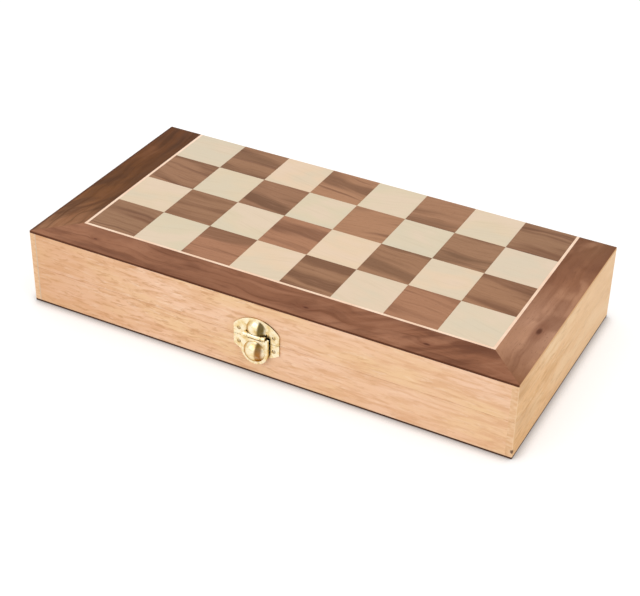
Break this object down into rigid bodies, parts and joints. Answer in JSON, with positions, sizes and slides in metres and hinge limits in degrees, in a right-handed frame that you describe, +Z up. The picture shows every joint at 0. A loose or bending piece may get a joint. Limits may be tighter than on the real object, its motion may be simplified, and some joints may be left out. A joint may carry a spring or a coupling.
{
  "type": "folding chess box",
  "caption": "Wooden box with a hinged lid and brass clasp; its halves carry a chequered field outside and unfold into a board, with turned men stored in a channelled tray.",
  "frame": {"origin": "middle of the underside, on the face of the lower half of the board", "axes": "+Z up through the lid, +X along the long side to the right, -Y towards the clasp, +Y towards the hinges"},
  "size_m": [0.381, 0.2018, 0.06],
  "materials": {
    "case_wood": "satin",
    "plywood": "matte",
    "dark_wood": "satin",
    "light_wood": "satin",
    "white_men": "gloss",
    "dark_men": "gloss",
    "brass": "polished",
    "flocking": "matte",
    "felt": "matte"
  },
  "bodies": {
    "base": {"base_front_wall": "case_wood", "base_back_wall": "case_wood", "base_left_wall": "case_wood", "base_right_wall": "case_wood", "base_panel": "plywood", "base_border_front": "dark_wood", "base_border_left": "dark_wood", "base_border_right": "dark_wood", "base_stringing": "light_wood", "base_light_squares": "light_wood", "base_dark_squares": "dark_wood", "storage_tray": "flocking", "white_king": "white_men", "white_queen": "white_men", "white_bishops": "white_men", "white_knights": "white_men", "white_rooks": "white_men", "white_pawns": "white_men", "dark_king": "dark_men", "dark_queen": "dark_men", "dark_bishops": "dark_men", "dark_knights": "dark_men", "dark_rooks": "dark_men", "dark_pawns": "dark_men", "clasp_lower_plate": "brass", "clasp_knob": "brass", "clasp_lower_nails": "brass", "left_hinge_lower_leaf": "brass", "right_hinge_lower_leaf": "brass", "hinge_lower_screws": "brass", "hinge_pins": "brass"},
    "lid": {"lid_front_wall": "case_wood", "lid_back_wall": "case_wood", "lid_left_wall": "case_wood", "lid_right_wall": "case_wood", "lid_panel": "plywood", "lid_border_front": "dark_wood", "lid_border_left": "dark_wood", "lid_border_right": "dark_wood", "lid_stringing": "light_wood", "lid_light_squares": "light_wood", "lid_dark_squares": "dark_wood", "lid_felt": "felt", "clasp_upper_plate": "brass", "clasp_upper_nails": "brass", "clasp_pin": "brass", "left_hinge_upper_leaf": "brass", "right_hinge_upper_leaf": "brass", "hinge_upper_screws": "brass"},
    "hasp": {"clasp_hasp": "brass"}
  },
  "joints": [
    {"name": "lid_hinge", "type": "hinge", "parent": "base", "child": "lid", "pos_m": [0, 0.09555, 0.03], "axis": [-1, 0, 0], "range_deg": [0, 180]},
    {"name": "hasp_pivot", "type": "hinge", "parent": "lid", "child": "hasp", "pos_m": [0, -0.09845, 0.034], "axis": [-1, 0, 0], "range_deg": [0, 110]}
  ]
}
